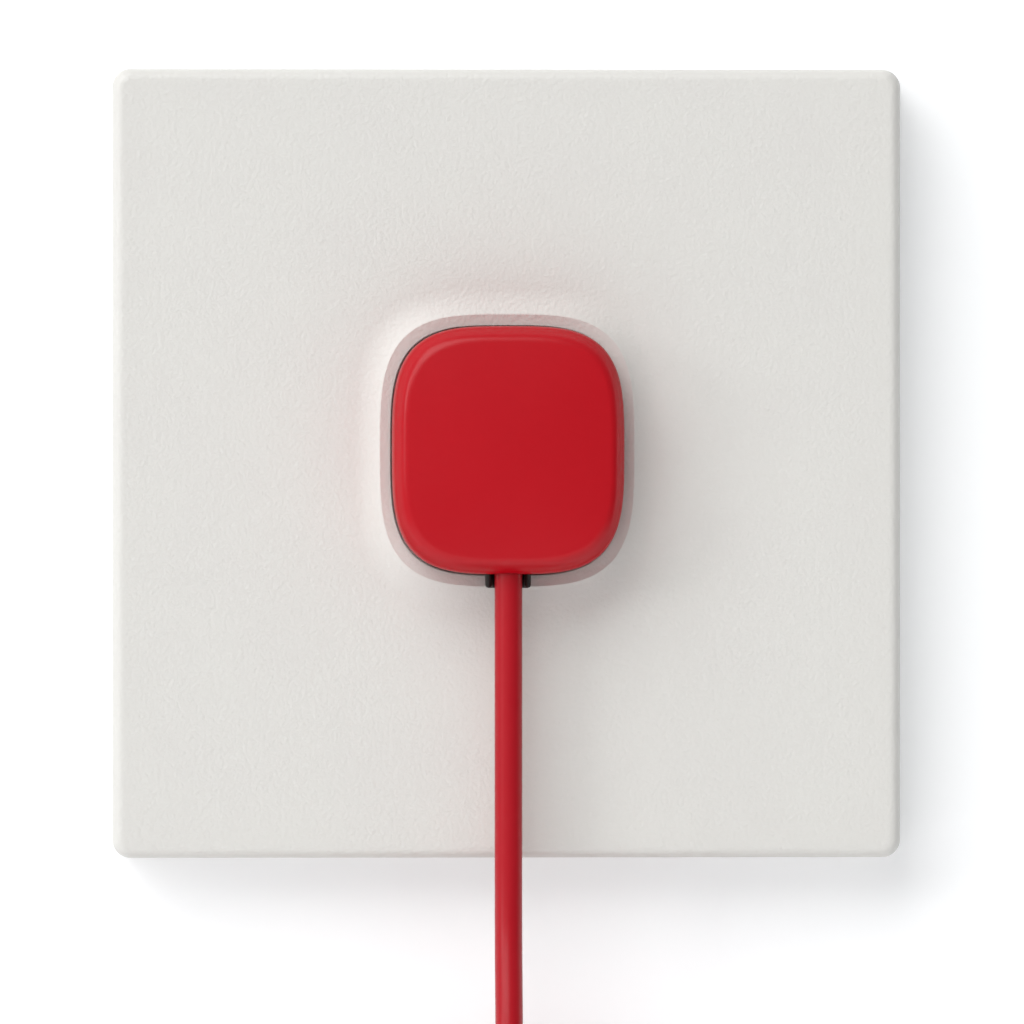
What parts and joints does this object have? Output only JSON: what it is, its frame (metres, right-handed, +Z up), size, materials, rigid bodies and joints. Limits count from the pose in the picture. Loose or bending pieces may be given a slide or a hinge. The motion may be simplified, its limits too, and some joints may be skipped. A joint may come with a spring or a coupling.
{
  "type": "emergency pull cord alarm",
  "caption": "Flush-mounted emergency call switch: square white cover plate, red pillow-shaped cap, red pull cord with a hand grip, and a sprung carriage that trips a snap switch.",
  "frame": {"origin": "centre of the cover plate on the wall's face, over the middle of the flush box", "axes": "+Z up, +X to the right for someone who faces the wall, +Y into the wall"},
  "size_m": [0.08, 0.049, 0.188],
  "materials": {
    "white_plate": "fine moulded grain, satin",
    "red_cap": "fine moulded grain, satin",
    "black_slide": "moulded, satin",
    "frame_steel": "zinc plated sheet",
    "grey_housing": "moulded, matt",
    "green_board": "solder resist over glass laminate",
    "terminal_plastic": "moulded, matt",
    "switch_plastic": "moulded, matt",
    "spring_steel": "bright spring steel",
    "plunger_plastic": "moulded",
    "ferrule_brass": "crimped brass",
    "red_cord": "smooth extruded sheath",
    "tie_plastic": "flat plastic band",
    "red_grip": "moulded, satin",
    "screw_steel": "zinc plated"
  },
  "bodies": {
    "wall_unit": {"cover_plate": "white_plate", "mounting_frame": "frame_steel", "insert_housing": "grey_housing", "rear_cover": "grey_housing", "guide_cover": "grey_housing", "circuit_board": "green_board", "terminal_block": "terminal_plastic", "switch_body": "switch_plastic", "return_spring_left": "spring_steel", "return_spring_right": "spring_steel", "terminal_screw_1": "screw_steel", "flange_screw_1": "screw_steel", "terminal_screw_2": "screw_steel", "flange_screw_2": "screw_steel", "terminal_screw_3": "screw_steel", "flange_screw_3": "screw_steel", "terminal_screw_4": "screw_steel", "flange_screw_4": "screw_steel", "box_screw_left": "screw_steel", "guide_screw_left": "screw_steel", "box_screw_right": "screw_steel", "guide_screw_right": "screw_steel"},
    "pull_head": {"pull_carriage": "black_slide", "pull_cap": "red_cap", "cord_ferrule": "ferrule_brass", "pull_cord": "red_cord", "cord_coil": "red_cord", "coil_tie_upper": "tie_plastic", "coil_tie_lower": "tie_plastic", "cord_tail": "red_cord", "pull_grip": "red_grip", "end_knot": "red_cord"},
    "lever": {"switch_lever": "spring_steel"},
    "plunger": {"switch_plunger": "plunger_plastic"}
  },
  "joints": [
    {"name": "pull_slide", "type": "slide", "parent": "wall_unit", "child": "pull_head", "axis": [0, 0, -1], "range_m": [0, 0.002], "stiffness_N_per_m": 1500, "springref_m": -0.002, "deforming": ["return_spring_left", "return_spring_right"]},
    {"name": "lever_hinge", "type": "hinge", "parent": "wall_unit", "child": "lever", "pos_m": [0.0052, -0.00365, -0.00732], "axis": [0, -1, 0], "range_deg": [0, 12.9]},
    {"name": "plunger_slide", "type": "slide", "parent": "wall_unit", "child": "plunger", "axis": [0, 0, -1], "range_m": [0, 0.00082]}
  ],
  "couplings": [
    {"joint": "lever_hinge", "follows": "pull_slide", "rad_per_m": 112.1},
    {"joint": "plunger_slide", "follows": "pull_slide", "ratio": 0.4}
  ]
}
